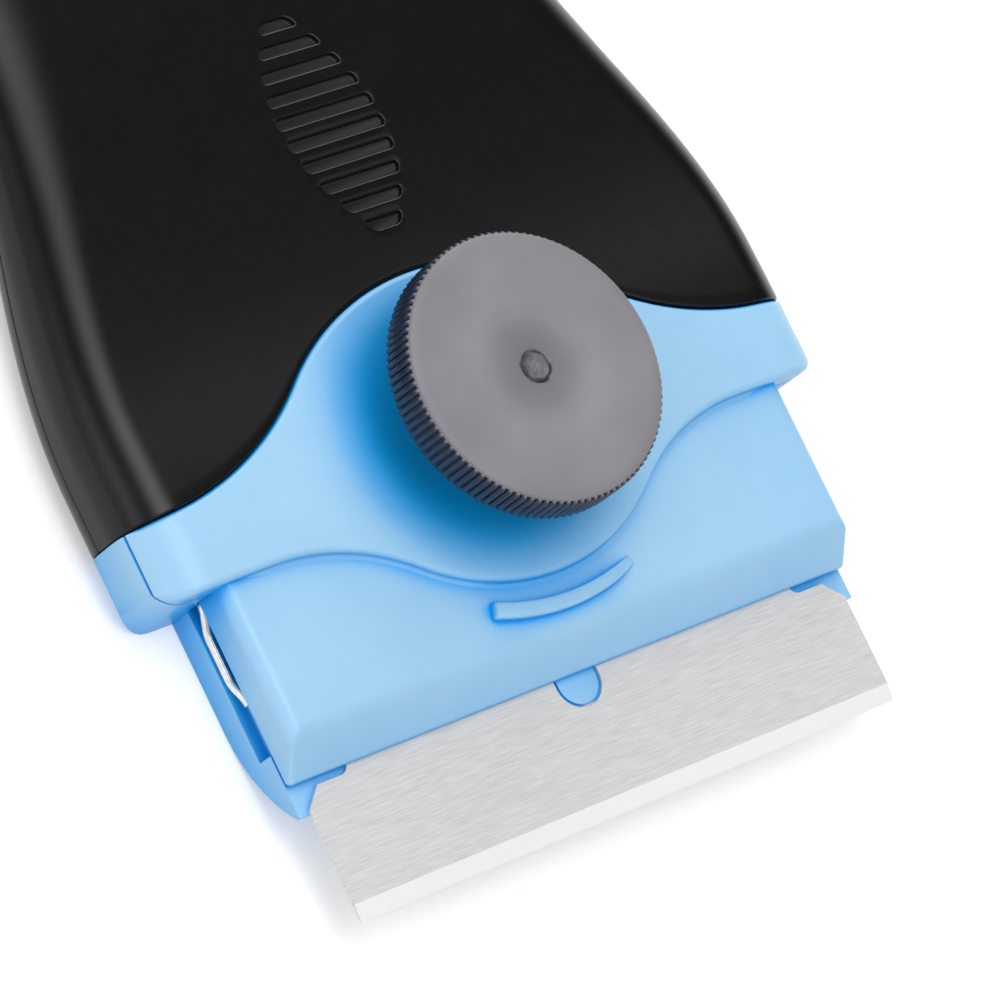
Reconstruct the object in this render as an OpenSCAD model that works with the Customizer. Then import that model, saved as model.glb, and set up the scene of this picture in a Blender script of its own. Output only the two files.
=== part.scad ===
// Razor blade scraper: a moulded two-shell handle, a two-jaw head and a knurled clamp knob.
// X runs across the blade, Y from the cutting edge to the tail, Z up along the knob.
// The origin lies under the middle of the tool, on the surface that it rests on.
// Heights count from that surface. Lengths count from the axis of the knob.

/* [Head] */
// Width across the ears of the two jaws
head_w = 46.4; // [42:0.2:50]
// Thickness of the clamp at its raised band
clamp_t = 3.1; // [2.8:0.1:4.2]
// Crest of the band behind the knob
back_crest = 8.4; // [7.5:0.1:9.5]
// Rear edge of the ears behind the knob
back_foot = 0.3; // [0.2:0.1:1]
// Radius of the round behind the knob
back_round_r = 15.8; // [14:0.2:18]
// Radius of the hollow from that round to the ears
back_hollow_r = 18; // [15:0.2:20]
// Crest of the band in front of the knob
front_crest = 9.7; // [8.8:0.1:10.2]
// Front edge of the ears before the knob
front_foot = 4.1; // [3.6:0.1:4.6]
// Radius of the round before the knob
front_round_r = 12.9; // [11:0.1:15]
// Radius of the hollow from that round to the ears
front_hollow_r = 13.1; // [11:0.1:15]
// Rounding of the upper corners of head and handle
shoulder_r = 3; // [1.5:0.1:3.2]
// Rounding of the lower corners of head and handle
keel_r = 2; // [1:0.1:2.4]
// Rounding of the ears in plan
ear_corner_r = 2; // [0.5:0.1:2.4]
// Rounding of the raised band's upper edge
band_edge_r = 0.4; // [0.2:0.1:0.6]

/* [Clamp front] */
// Width of the clamp's front plate
plate_w = 39.3; // [38.5:0.1:41]
// Drop from the raised band to the front plate
plate_drop = 0.6; // [0.4:0.1:1.4]
// Front lower edge of the clamp before the knob
clamp_reach = 14.8; // [13.6:0.1:15.6]
// Run of the sloping front face
front_slope = 2.1; // [1.4:0.1:2.6]
// Height of the upright strip under the sloping face
front_lip = 0.35; // [0.2:0.05:0.6]
// Rounding of the front plate's upper side edges
plate_edge_r = 0.8; // [0.4:0.1:1]
// Width of the curved finger rib
rib_w = 1; // [0.7:0.1:1.4]
// Height of the curved finger rib above the plate
rib_h = 0.6; // [0.4:0.1:1]
// Gap from the raised band to the rib
rib_gap = 1.1; // [0.8:0.1:1.6]
// Angle that the rib spans
rib_sweep = 40; // [30:1:60]

/* [Lower jaw] */
// Front tip of the lower jaw before the knob
nose_reach = 16.5; // [15.4:0.1:17]
// Depth of the lip that carries the blade
lip_depth = 3.6; // [2.8:0.1:4.4]
// Start of the curved rise under the nose
nose_slope_y = 10.5; // [9.5:0.1:11.5]
// Thickness of the nose at its tip
nose_t = 0.3; // [0.2:0.05:0.8]
// Rise of the ears above the underside of the clamp
ear_rise = 1.25; // [0.4:0.05:1.6]
// Gap between the closed jaws
jaw_gap = 0.15; // [0.1:0.05:0.3]
// Width of the tang inside the handle
tang_w = 24; // [20:0.5:28]
// Reach of the tang behind the knob
tang_reach = 20; // [19:0.5:20.5]
// Length of the peg that centres the blade
peg_l = 2.4; // [1.6:0.1:3]

/* [Blade] */
// Width of the blade
blade_w = 38; // [36:0.5:39]
// Cutting edge before the clamp's front edge
blade_out = 7.9; // [6:0.1:10]
// Depth of the blade from edge to back
blade_depth = 12; // [11:0.2:13]
// Thickness of the blade
blade_t = 0.25; // [0.2:0.05:0.4]
// Width of the ground bevel
bevel_w = 1; // [0.6:0.1:1.6]
// Thickness left at the cutting edge
edge_t = 0.05; // [0.03:0.01:0.1]
// Width of the tongue between the jaws
tongue_w = 31.4; // [30:0.2:34]
// Depth of the full-width part of the blade
shoulder_depth = 7.5; // [6.5:0.1:7.8]
// Chamfer of the shoulders
shoulder_chamfer = 1.1; // [0.6:0.1:1.5]
// Inner rounding from the tongue to the shoulders
tongue_round_r = 0.6; // [0.3:0.1:1]
// Width of the locating notch
notch_w = 3; // [2.4:0.1:3.6]
// Steel left between the notch and the edge
notch_land = 6; // [5.4:0.1:6.6]

/* [Knob] */
// Diameter over the knurl
knob_d = 15.7; // [13.6:0.1:17]
// Height of the knurled head
knob_h = 2.7; // [2.4:0.1:4]
// Height of the hub between clamp and knurled head
hub_h = 3.4; // [2.6:0.1:5]
// Diameter of the hub
hub_d = 8.4; // [7.4:0.1:9]
// Number of ridges in the knurl
ridge_n = 110; // [80:1:120]
// Depth of the knurl
ridge_t = 0.25; // [0.15:0.05:0.35]
// Height of the plain chamfers above and below the knurl
knob_chamfer = 0.5; // [0.2:0.05:0.8]
// How far the chamfers draw in
knob_draw = 0.15; // [0.1:0.05:0.5]
// Width of the flat rim round the dished top
rim_w = 0.5; // [0.3:0.1:2]
// Depth of the dished top
dish_t = 0.2; // [0.1:0.05:0.4]

/* [Screw] */
// Thread diameter of the stud
stud_d = 4; // [3:0.5:4]
// Depth of the stud inside the knob
stud_grip = 1.8; // [1.2:0.1:2]
// Height of the stud's end above the underside
stud_sink = 0.3; // [0.2:0.1:0.6]
// Width of the nut across its flats
nut_w = 7; // [6:0.1:7.2]
// Height of the nut
nut_h = 2; // [1.6:0.1:2.4]
// Recess of the nut in the underside
nut_sink = 0.1; // [0.05:0.05:0.3]
// Plastic left above the nut
nut_roof = 0.4; // [0.3:0.1:0.8]
// Outer diameter of the washer
washer_d = 9; // [8.6:0.1:10]
// Thickness of the washer
washer_t = 0.8; // [0.5:0.1:1]

/* [Spring] */
// Diameter of the spring wire
wire_d = 0.65; // [0.5:0.05:0.8]
// Bow of the two legs
spring_bow = 0.7; // [0.3:0.05:0.9]
// Front tips of the legs before the knob
spring_front = 10; // [8.4:0.1:10]
// Cross bar of the spring before the knob
spring_back = 3.3; // [3.2:0.05:3.5]
// Inner radius of the corners
spring_corner_r = 0.6; // [0.4:0.1:1]
// Share of a leg's length that each of its two bends takes
bow_share = 0.3; // [0.2:0.05:0.5]
// Distance of each leg from the side of the clamp
spring_inset = 0.4; // [0.36:0.02:0.6]

/* [Handle] */
// Tail end behind the knob
tail_reach = 95.7; // [88:0.1:104]
// Height of the joint between the two shells
shell_z = 2.2; // [1.9:0.1:2.4]
// Where the flanks begin to draw in behind the knob
flank_y = 4; // [3:0.5:6]
// Width at the waist
waist_w = 34.6; // [32:0.2:38]
// Place of the waist behind the knob
waist_y = 34; // [30:0.5:38]
// Width at the palm swell
palm_w = 39.5; // [36:0.5:43]
// Place of the palm swell behind the knob
palm_y = 60; // [55:0.5:64]
// Deepest place of the thumb rest behind the knob
thumb_y = 27; // [24:0.5:29]
// Dip of the thumb rest below the head
thumb_dip = 2.2; // [1:0.1:2.4]
// Rise of the palm swell above the head
palm_rise = 1.8; // [1:0.1:4]
// Crown of the palm swell from side to side
palm_crown = 0.5; // [0:0.1:1]
// Rise of the flat tail above the head
tail_rise = 0.6; // [0:0.1:1.5]
// Length of the rounded tail
tail_l = 20; // [16:0.5:22]
// Wall of the two shells
wall = 1.5; // [1.3:0.1:1.6]
// Diameter of the hanging hole
hang_d = 6; // [4:0.5:7]
// Place of the hanging hole before the tail end
hang_inset = 9; // [7.5:0.5:10]
// Number of slots in the thumb grip
slot_n = 10; // [6:1:11]
// Spacing of the slots
slot_pitch = 1.4; // [1.2:0.05:1.5]
// Width of one slot
slot_w = 0.8; // [0.5:0.05:0.95]
// Depth of the slots
slot_t = 0.4; // [0.2:0.05:0.5]
// Length of the longest slot
slot_l = 6.8; // [5:0.2:10]
// Middle of the thumb grip behind the knob
grip_y = 17.7; // [17:0.1:18.5]

/* [Handle screws] */
// Shank diameter of the handle screws
screw_d = 2.6; // [2:0.1:3]
// Head diameter of the handle screws
screw_head_d = 4.6; // [4.2:0.1:5.2]
// Head height of the handle screws
screw_head_t = 1; // [0.8:0.1:1.1]
// Depth of the heads below the underside
screw_sink = 0.2; // [0.1:0.1:0.3]
// Spacing of the two front screws
screw_pair = 16; // [14:0.5:18]
// Place of the front screws behind the knob
screw_front_y = 15; // [14:0.5:18]
// Place of the rear screw before the tail end
screw_rear_inset = 23.6; // [21.6:0.2:31.6]
// Wall of the screw bosses
boss_wall = 1.5; // [1:0.1:2]

/* [Clearances] */
// Gap between head and handle
head_fit = 0.2; // [0.1:0.05:0.3]
// Gap between the clamp and the ears of the lower jaw
cheek_fit = 0.25; // [0.15:0.05:0.4]
// Radial gap round the stud in clamp, lower jaw and washer
stud_fit = 0.3; // [0.25:0.05:0.4]
// Radial gap in the thread of the nut
thread_fit = 0.05; // [0.02:0.01:0.08]
// Gap round a piece that is held still
seat_fit = 0.05; // [0.02:0.01:0.1]
// Gap between the spring and what it presses on
spring_fit = 0.05; // [0.02:0.01:0.1]
// Gap under the cross bar of the spring
bar_fit = 0.1; // [0.05:0.05:0.2]
// Radial gap round a screw in a through hole
screw_fit = 0.25; // [0.15:0.05:0.4]
// Gap between the peg and the notch of the blade
peg_fit = 0.2; // [0.1:0.05:0.3]

/* [Hidden] */

$fn = 64;
cut = 1;
arc_n = 7;
curve_n = 40;
edge_n = 4;
// Straight wall left below a rounding, least half width of a section, most of it that a rounding takes
thin = 0.2;
slim = 0.5;
most = 0.9;
// Power of the rounded outline of the tail, last angle of its sections and how they crowd to the end
tail_power = 2.5;
tail_last = 87;
tail_crowd = 0.8;

black = [0.09, 0.09, 0.095];
blue = [0.6, 0.81, 0.95];
grey = [0.33, 0.33, 0.35];
steel = [0.78, 0.78, 0.79];
dark_steel = [0.5, 0.5, 0.52];

// Heights, from the nut upwards
bar_floor_z = nut_sink + nut_h + nut_roof;
clamp_z = bar_floor_z + bar_fit + wire_d + spring_fit;
lip_z = clamp_z - blade_t;
leg_floor_z = clamp_z - 2 * spring_fit - wire_d - spring_bow;
part_z = clamp_z - jaw_gap;
ear_z = clamp_z + ear_rise;
head_h = clamp_z + clamp_t;
plate_z = head_h - plate_drop;
tail_h = head_h + tail_rise;
hub_z = head_h + washer_t;
knob_z = head_h + hub_h;
knob_top = knob_z + knob_h;

// Lengths and half widths
edge_y = clamp_reach + blade_out;
axis_y = (edge_y - tail_reach) / 2;
head_x = head_w / 2;
plate_x = plate_w / 2;
cheek_x = plate_x + cheek_fit;
tail_y = tail_reach - tail_l;
flat_y = tail_reach - hang_inset - hang_d - wall;
leg_x = plate_x - spring_inset;
cavity_y = back_crest + head_fit + wall;
cavity_end_y = tail_reach - hang_inset - hang_d / 2 - 2 * wall;
boss_r = screw_d / 2 + boss_wall;
screw_z = screw_sink + screw_head_t;
stud_r = stud_d / 2;
bore_r = stud_r + stud_fit;
screw_rear_y = tail_reach - screw_rear_inset;
screws = [[-screw_pair / 2, screw_front_y], [screw_pair / 2, screw_front_y], [0, screw_rear_y]];

// Smooth step of v from 0 at a to 1 at b
function ease(a, b, v) = let (t = min(1, max(0, (v - a) / (b - a)))) t * t * (3 - 2 * t);
function mix(a, b, t) = a + (b - a) * t;
function steps(a, b, n) = [for (i = [0:n]) mix(a, b, i / n)];
function unit(v) = v / norm(v);

// Edge of the band at x: a round about the knob, a hollow tangent to it, then the straight ear.
// The grow value moves the whole edge outwards by that distance.
function band_y(x, crest, foot, round_r, hollow_r, grow) =
    let (
        low = crest - round_r,
        high = foot + hollow_r,
        far = sqrt(max(1, pow(round_r + hollow_r, 2) - pow(high - low, 2))),
        meet = far * (round_r + grow) / (round_r + hollow_r),
        a = abs(x)
    )
    a <= meet ? low + sqrt(pow(round_r + grow, 2) - a * a)
    : a < far ? high - sqrt(pow(hollow_r - grow, 2) - pow(far - a, 2))
    : foot + grow;
function back_y(x, grow = 0) = band_y(x, back_crest, back_foot, back_round_r, back_hollow_r, grow);
function front_y(x) = -band_y(x, front_crest, front_foot, front_round_r, front_hollow_r, 0);

// Quarter arc in plan about a corner's centre
function corner(cx, cy, r, from) =
    [for (a = steps(from, from + 90, arc_n)) [cx + r * cos(a), cy + r * sin(a)]];

// How far an edge rounded by r has fallen at x, close to the ends of the ears
function ear_fall(x, r) =
    let (u = min(1, max(0, (abs(x) - head_x + r) / r))) r * (1 - sqrt(1 - u * u));

// Section of the raised band at x: front wall, rounded edges, flat top and rear wall
function band_ring(x) =
    let (
        front = front_y(x) + ear_fall(x, ear_corner_r),
        back = back_y(x),
        low = clamp_z - cut,
        high = head_h - ear_fall(x, shoulder_r),
        r = band_edge_r
    )
    concat(
        [[x, front, low]],
        [for (a = steps(180, 90, edge_n)) [x, front + r + r * cos(a), high - r + r * sin(a)]],
        [for (a = steps(90, 0, edge_n)) [x, back - r + r * cos(a), high - r + r * sin(a)]],
        [[x, back, low]]
    );

// Half width of the handle at y
function handle_x(y) =
    let (
        flank = mix(head_x, waist_w / 2, ease(flank_y, waist_y, y)),
        body = mix(flank, palm_w / 2, ease(waist_y, palm_y, y)),
        s = min(1, max(0, (y - tail_y) / tail_l))
    )
    body * pow(1 - pow(s, tail_power), 1 / tail_power);

// How far a rounded edge of radius r has fallen at y, close to the tail end
function tail_fall(y, r) =
    let (u = min(1, max(0, (y - tail_reach + r) / r))) r * (1 - sqrt(1 - u * u));

// Height of the handle's upper surface at y
function handle_z(y) =
    head_h - thumb_dip * ease(back_crest + head_fit, thumb_y, y)
    + (thumb_dip + palm_rise) * ease(waist_y, palm_y, y)
    - (palm_rise - tail_rise) * ease(palm_y, flat_y, y)
    - tail_fall(y, shoulder_r);

// Crown of the handle's upper surface at y
function handle_crown(y) = palm_crown * ease(waist_y, palm_y, y) * (1 - ease(palm_y, flat_y, y));

// Places of the sections along the handle, closer together round the tail
stations = concat(
    steps(back_foot - cut, tail_y, 30),
    [for (a = steps(0, 1, 12)) if (a > 0) tail_y + tail_l * pow(sin(a * tail_last), tail_crowd)]
);
hollow_stations = steps(cavity_y, cavity_end_y, 16);

// Top of the screw pilots at y
function pilot_z(y) = handle_z(y) - wall;

// Upper section at y, inset all round, from the joint of the shells up and over
function upper_ring(y, inset, low) =
    let (
        x = max(handle_x(y) - inset, slim),
        z = max(handle_z(y) - inset, low + slim),
        r = min(shoulder_r, x * most, z - low - thin),
        crown = handle_crown(y),
        span = 1 - 1 / edge_n
    )
    concat(
        [[x, y, low]],
        [for (a = steps(0, 90, arc_n)) [x - r + r * cos(a), y, z - r + r * sin(a)]],
        [for (t = steps(span, -span, 2 * edge_n)) [(x - r) * t, y, z + crown * (1 - t * t)]],
        [for (a = steps(90, 180, arc_n)) [r - x + r * cos(a), y, z - r + r * sin(a)]],
        [[-x, y, low]]
    );

// Lower section at y, inset all round, from the joint of the shells down and under
function lower_ring(y, inset, high) =
    let (
        x = max(handle_x(y) - inset, slim),
        z = tail_fall(y, keel_r) + inset,
        r = min(keel_r, x * most, shell_z - z - thin / 4)
    )
    concat(
        [[-x, y, high]],
        [for (a = steps(180, 270, arc_n)) [r - x + r * cos(a), y, z + r + r * sin(a)]],
        [for (a = steps(270, 360, arc_n)) [x - r + r * cos(a), y, z + r + r * sin(a)]],
        [[x, y, high]]
    );

// Round wire of the spring: one leg, from its tip to the corner behind it
leg_mid_z = leg_floor_z + spring_fit + wire_d / 2;
bar_z = clamp_z - spring_fit - wire_d / 2;
bend_r = spring_corner_r + wire_d / 2;
function leg_rise(t) = 1 - ease(0, bow_share, t) + ease(1 - bow_share, 1, t);
function leg_path() = [for (t = steps(0, 1, 20))
    [leg_x, mix(-spring_front, -spring_back - bend_r, t), mix(leg_mid_z, bar_z, leg_rise(t))]];
function bend_path() = [for (a = steps(0, 90, 6)) if (a > 0)
    [leg_x - bend_r + bend_r * cos(a), -spring_back - bend_r + bend_r * sin(a), bar_z]];
function half_wire() = concat(leg_path(), bend_path());
function mirrored(path) = [for (i = [len(path) - 1:-1:0]) [-path[i][0], path[i][1], path[i][2]]];
wire_path = concat(half_wire(), mirrored(half_wire()));

// Everything is drawn about the knob's axis and then set in place
module on_axis() {
    translate([0, axis_y, 0]) children();
}

// Closed skin over a row of sections with equally many points, each end closed by a fan
module loft(rings) {
    n = len(rings[0]);
    m = len(rings);
    function middle(ring) = [for (axis = [0:2]) [for (p = ring) p[axis]] * [for (p = ring) 1 / n]];
    sides = [for (i = [0:m - 2]) for (j = [0:n - 1]) for (k = [0, 1])
        let (
            a = i * n + j,
            b = i * n + (j + 1) % n
        )
        k == 0 ? [a, b, a + n] : [b, b + n, a + n]];
    first = [for (j = [0:n - 1]) [(j + 1) % n, j, m * n]];
    last = [for (j = [0:n - 1]) [(m - 1) * n + j, (m - 1) * n + (j + 1) % n, m * n + 1]];
    points = concat([for (ring = rings) for (p = ring) p], [middle(rings[0]), middle(rings[m - 1])]);
    polyhedron(points, concat(first, last, sides), convexity = 8);
}

// Bar of one section, given as X and Z, along Y
module along_y(from, to) {
    translate([0, to, 0]) rotate([90, 0, 0]) linear_extrude(to - from) children();
}

// Bar of one section, given as Y and Z, across X
module across_x(width) {
    translate([-width / 2, 0, 0]) rotate([90, 0, 90]) linear_extrude(width) children();
}

// Section with two rounded upper corners
module round_top(width, low, high, r) {
    translate([-width / 2, low]) square([width, high - r - low]);
    translate([r - width / 2, low]) square([width - 2 * r, high - low]);
    for (side = [-1, 1]) translate([side * (width / 2 - r), high - r]) circle(r);
}

// Hexagonal prism with two flats across Y
module hexagon(across, h) {
    cylinder(h = h, d = across / cos(30), $fn = 6);
}

// Space that the head takes out of the front of the handle
module head_space() {
    reach = head_x + cut;
    points = [for (x = steps(-reach, reach, curve_n + 4)) [x, back_y(x, head_fit)]];
    translate([0, 0, -cut]) linear_extrude(head_h + 2 * cut)
        polygon(concat([[reach, -reach], [-reach, -reach]], points));
}

// At each of the three handle screws
module at_screws() {
    for (p = screws) translate([p[0], p[1], 0]) children();
}

module hang_hole() {
    translate([0, tail_reach - hang_inset, -cut]) cylinder(h = knob_top, d = hang_d);
}

// Row of round-ended slots on the thumb rest, longest in the middle
module thumb_slots() {
    middle = (slot_n - 1) / 2;
    for (i = [0:slot_n - 1]) {
        off = i - middle;
        y = grip_y + off * slot_pitch;
        half = max(slot_l / 2 * (1 - pow(off / (middle + 1), 2)) - slot_w / 2, slot_w / 8);
        translate([0, y, handle_z(y) - slot_t]) linear_extrude(cut + slot_t) {
            square([2 * half, slot_w], center = true);
            for (side = [-half, half]) translate([side, 0]) circle(d = slot_w);
        }
    }
}

// Room for the tang of the lower jaw between the two shells
module tang_room() {
    half = tang_w / 2 + head_fit;
    translate([-half, 0, wall]) cube([2 * half, tang_reach + head_fit, part_z + jaw_gap - wall]);
}

module handle_top_shell() {
    color(black) on_axis() difference() {
        loft([for (y = stations) upper_ring(y, 0, shell_z)]);
        head_space();
        tang_room();
        difference() {
            loft([for (y = hollow_stations) upper_ring(y, wall, shell_z - cut)]);
            at_screws() cylinder(h = knob_top, r = boss_r);
        }
        for (p = screws) translate([p[0], p[1], 0]) cylinder(h = pilot_z(p[1]), d = screw_d + 2 * seat_fit);
        thumb_slots();
        hang_hole();
    }
}

module handle_bottom_shell() {
    color(black) on_axis() difference() {
        loft([for (y = stations) lower_ring(y, 0, shell_z)]);
        head_space();
        tang_room();
        difference() {
            loft([for (y = hollow_stations) lower_ring(y, wall, shell_z + cut)]);
            translate([0, screw_rear_y, 0]) cylinder(h = shell_z + cut, r = boss_r);
        }
        at_screws() {
            translate([0, 0, -cut]) cylinder(h = shell_z + 2 * cut, d = screw_d + 2 * screw_fit);
            translate([0, 0, -cut]) cylinder(h = screw_z + cut, d = screw_head_d + 2 * screw_fit);
        }
        hang_hole();
    }
}

module handle_screws() {
    color(dark_steel) on_axis() for (p = screws) translate([p[0], p[1], 0]) {
        translate([0, 0, screw_sink]) cylinder(h = screw_head_t, d = screw_head_d);
        translate([0, 0, screw_z]) cylinder(h = pilot_z(p[1]) - screw_z - seat_fit, d = screw_d);
    }
}

// Lower jaw in plan: the bell behind the knob and the straight front of the ears
module base_plan() {
    in = head_x - ear_corner_r;
    cy = ear_corner_r - front_foot;
    polygon(concat(
        corner(-in, cy, ear_corner_r, 180),
        corner(in, cy, ear_corner_r, 270),
        [for (x = steps(head_x, -head_x, curve_n)) [x, back_y(x)]]
    ));
}

module base_block() {
    intersection() {
        linear_extrude(ear_z) base_plan();
        along_y(-head_w, head_w) mirror([0, 1]) round_top(head_w, -head_h, 0, keel_r);
        along_y(-head_w, head_w) round_top(head_w, -cut, head_h, shoulder_r);
    }
}

module base_nose() {
    run = nose_reach - nose_slope_y;
    rise = lip_z - nose_t;
    under_r = (run * run + rise * rise) / (2 * rise);
    across_x(plate_w - 2 * seat_fit) polygon(concat(
        [
            [0, 0],
            [0, part_z],
            [lip_depth - nose_reach, part_z],
            [lip_depth - nose_reach, lip_z],
            [-nose_reach, lip_z]
        ],
        [for (a = steps(asin(run / under_r), 0, arc_n))
            [-nose_slope_y - under_r * sin(a), under_r - under_r * cos(a)]]
    ));
}

// Room for the clamp between the ears, for the cross bar and for the two legs
module spring_room() {
    back = spring_back - wire_d / 2 - spring_fit;
    front = nose_reach - lip_depth;
    leg_w = 2 * max(spring_inset, wire_d / 2 + spring_fit);
    translate([-cheek_x, -head_w, part_z]) cube([2 * cheek_x, 2 * head_w, head_h]);
    translate([-plate_x, -front, bar_floor_z]) cube([plate_w, front - back, head_h]);
    for (side = [-1, 1]) translate([side * leg_x - leg_w / 2, -front, leg_floor_z])
        cube([leg_w, front - back, head_h]);
}

module blade_peg() {
    r = notch_w / 2 - peg_fit;
    front = edge_y - notch_land - notch_w / 2;
    h = blade_t - seat_fit;
    translate([0, -front, lip_z - cut]) cylinder(h = h + cut, r = r);
    translate([-r, -front, lip_z - cut]) cube([2 * r, peg_l, h + cut]);
}

module jaw_base() {
    color(blue) on_axis() difference() {
        union() {
            difference() {
                union() {
                    base_block();
                    base_nose();
                }
                spring_room();
            }
            translate([-tang_w / 2, 0, wall]) cube([tang_w, tang_reach, part_z - wall]);
            blade_peg();
        }
        translate([0, 0, -cut]) hexagon(nut_w + 2 * seat_fit, nut_sink + nut_h + cut);
        cylinder(h = head_h, r = bore_r);
        at_screws() cylinder(h = head_h, d = screw_d + 2 * screw_fit);
    }
}

module captive_nut() {
    color(steel) on_axis() translate([0, 0, nut_sink]) difference() {
        hexagon(nut_w, nut_h);
        translate([0, 0, -cut]) cylinder(h = nut_h + 2 * cut, r = stud_r + thread_fit);
    }
}

module lift_spring() {
    sides = 10;
    n = len(wire_path);
    rings = [for (i = [0:n - 1])
        let (
            along = unit(wire_path[min(i + 1, n - 1)] - wire_path[max(i - 1, 0)]),
            across = unit(cross(along, [0, 0, 1])),
            up = cross(across, along)
        )
        [for (j = [0:sides - 1]) wire_path[i]
            + wire_d / 2 * (across * cos(360 * j / sides) + up * sin(360 * j / sides))]];
    color(steel) on_axis() loft(rings);
}

// Front plate of the clamp with its sloping face and rounded side edges
module clamp_front() {
    slope = (plate_z - clamp_z - front_lip) / front_slope;
    low = clamp_z - 2 * cut;
    intersection() {
        across_x(head_w) polygon([
            [0, low],
            [0, plate_z + cut],
            [front_slope + cut / slope - clamp_reach, plate_z + cut],
            [-clamp_reach, clamp_z + front_lip],
            [-clamp_reach, low]
        ]);
        along_y(-head_w, head_w) round_top(plate_w, low - cut, plate_z, plate_edge_r);
    }
}

module clamp_plate() {
    ear_w = head_w - plate_w;
    color(blue) on_axis() difference() {
        union() {
            loft([for (t = steps(-90, 90, 2 * curve_n)) band_ring(head_x * sin(t))]);
            clamp_front();
            finger_rib();
        }
        translate([-head_w, -head_w, 0]) cube([2 * head_w, 2 * head_w, clamp_z]);
        for (side = [-1, 1]) translate([side * (plate_x + ear_w) - ear_w, -head_w, 0])
            cube([2 * ear_w, 2 * head_w, ear_z + jaw_gap]);
        cylinder(h = 2 * head_h, r = bore_r);
    }
}

// Curved rib that follows the front round of the band
module finger_rib() {
    r = front_round_r + rib_gap;
    translate([0, front_round_r - front_crest, plate_z - cut])
        rotate([0, 0, 270 - rib_sweep / 2]) rotate_extrude(angle = rib_sweep)
            translate([r, 0]) square([rib_w, rib_h + cut]);
}

module knob_washer() {
    color(steel) on_axis() translate([0, 0, head_h]) difference() {
        cylinder(h = washer_t, d = washer_d);
        translate([0, 0, -cut]) cylinder(h = washer_t + 2 * cut, r = bore_r);
    }
}

module knob() {
    root_r = knob_d / 2 - ridge_t;
    land_r = root_r - ridge_t / 5;
    tip_r = land_r - knob_draw;
    dish_r = tip_r - rim_w;
    ball_r = (dish_r * dish_r + dish_t * dish_t) / (2 * dish_t);
    ridges = [for (i = [0:2 * ridge_n - 1])
        let (r = i % 2 == 0 ? knob_d / 2 : root_r) r * [cos(180 * i / ridge_n), sin(180 * i / ridge_n)]];
    color(grey) on_axis() difference() {
        union() {
            translate([0, 0, hub_z]) cylinder(h = knob_z - hub_z + knob_chamfer, d = hub_d);
            translate([0, 0, knob_z]) cylinder(h = knob_chamfer, r1 = tip_r, r2 = land_r);
            translate([0, 0, knob_z + knob_chamfer])
                linear_extrude(knob_h - 2 * knob_chamfer) polygon(ridges);
            translate([0, 0, knob_top - knob_chamfer]) cylinder(h = knob_chamfer, r1 = land_r, r2 = tip_r);
        }
        translate([0, 0, knob_top - dish_t]) rotate_extrude() intersection() {
            translate([0, ball_r]) circle(ball_r, $fn = 720);
            square([dish_r + dish_t, 2 * dish_t]);
        }
        translate([0, 0, hub_z - cut]) cylinder(h = knob_z - hub_z + stud_grip + cut, r = stud_r + seat_fit);
    }
}

module knob_stud() {
    color(steel) on_axis() translate([0, 0, stud_sink])
        cylinder(h = knob_z + stud_grip - seat_fit - stud_sink, r = stud_r);
}

module blade() {
    half = blade_w / 2;
    back = blade_depth - edge_y;
    shoulder = shoulder_depth - edge_y;
    bevel_z = blade_t - edge_t;
    notch_y = notch_land + notch_w / 2 - edge_y;
    tongue = tongue_w / 2;
    inner = [for (a = steps(270, 180, arc_n))
        [tongue + tongue_round_r * (1 + cos(a)), shoulder + tongue_round_r * (1 + sin(a))]];
    color(steel) on_axis() translate([0, 0, lip_z]) difference() {
        linear_extrude(blade_t) difference() {
            polygon(concat(
                [
                    [-half, -edge_y],
                    [half, -edge_y],
                    [half, shoulder - shoulder_chamfer],
                    [half - shoulder_chamfer, shoulder]
                ],
                inner,
                [[tongue, back], [-tongue, back]],
                [for (i = [arc_n:-1:0]) [-inner[i][0], inner[i][1]]],
                [[shoulder_chamfer - half, shoulder], [-half, shoulder - shoulder_chamfer]]
            ));
            translate([0, notch_y]) circle(d = notch_w);
            translate([-notch_w / 2, notch_y]) square([notch_w, blade_depth]);
        }
        across_x(blade_w + 2 * cut) polygon([
            [bevel_w - edge_y, blade_t],
            [-edge_y - bevel_w, blade_t - 2 * bevel_z],
            [-edge_y - bevel_w, blade_t + cut],
            [bevel_w - edge_y, blade_t + cut]
        ]);
    }
}

handle_top_shell();
handle_bottom_shell();
handle_screws();
jaw_base();
captive_nut();
lift_spring();
clamp_plate();
knob_washer();
knob();
knob_stud();
blade();
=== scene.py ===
# %% [markdown]
# # A razor blade scraper, dressed around its CAD frame
# The tool has a black moulded handle in two shells, a sky-blue head with two jaws, a knurled knob that
# closes them, a wire spring that opens them and a blade. The CAD model fixes every size. This lesson
# gives each piece the soft edges, the fine relief and the finish that the real one has.

# %% Load the frame
import math
from contextlib import contextmanager

import bmesh
import bpy
import numpy as np
from mathutils import Matrix, Vector


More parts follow.
